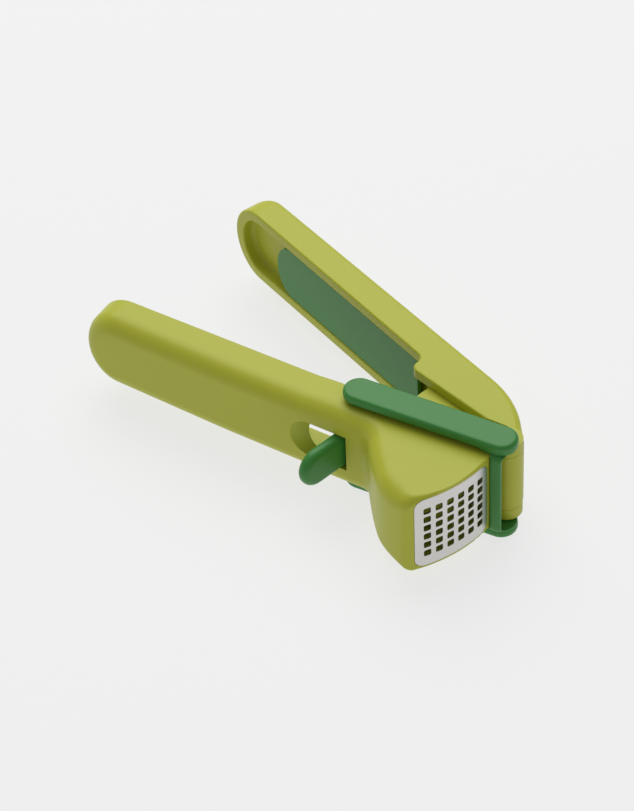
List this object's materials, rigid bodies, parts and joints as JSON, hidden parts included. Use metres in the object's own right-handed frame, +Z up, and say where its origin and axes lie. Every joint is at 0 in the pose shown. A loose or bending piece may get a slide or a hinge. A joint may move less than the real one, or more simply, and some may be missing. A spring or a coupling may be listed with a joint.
{
  "type": "garlic press",
  "caption": "Hand-held garlic press with a hinged lever and plunger, a perforated hopper plate, a trigger-driven wiper and a cleaning tool clipped in the lever",
  "frame": {"origin": "On the lower wiper arm's outer face, where the axis of the handle hinge passes through it; the press lies on its side on that face.", "axes": "+Z is up from the rest face and is the hinge axis; the hopper handle runs from the hinge towards -X; +Y is the side the lever opens to; the perforated plate faces +X and -Y."},
  "size_m": [0.1845, 0.1222, 0.0476],
  "materials": {
    "light_plastic": "satin yellow-green moulded plastic",
    "dark_plastic": "satin dark green moulded plastic",
    "plate_steel": "fine brushed stainless sheet",
    "pin_steel": "ground stainless rod",
    "bush_plastic": "plain dark green bearing plastic",
    "lip_rubber": "soft dark green wiping lip"
  },
  "bodies": {
    "hopper": {"hopper_handle": "light_plastic", "perforated_plate": "plate_steel", "hinge_pin": "pin_steel", "pivot_bush_upper": "bush_plastic", "pivot_bush_lower": "bush_plastic", "return_spring": "pin_steel"},
    "lever": {"lever_handle": "light_plastic", "plunger": "light_plastic", "plunger_pin": "pin_steel"},
    "wiper": {"wiper_frame": "dark_plastic", "scraper_lip": "lip_rubber", "trigger": "dark_plastic", "pivot_shaft": "pin_steel"},
    "tool": {"cleaning_tool": "dark_plastic"}
  },
  "joints": [
    {"name": "lever_hinge", "type": "hinge", "parent": "hopper", "child": "lever", "pos_m": [0, 0, 0.0238], "axis": [0, 0, -1], "range_deg": [-21.4, 100]},
    {"name": "wiper_pivot", "type": "hinge", "parent": "hopper", "child": "wiper", "pos_m": [-0.05793, -0.00888, 0.0238], "axis": [0, 0, -1], "range_deg": [0, 34], "stiffness_Nm_per_rad": 0.04, "springref_deg": -14.32},
    {"name": "tool_clip", "type": "slide", "parent": "lever", "child": "tool", "axis": [-0.3649, -0.9311, 0], "range_m": [0, 0.007]}
  ]
}
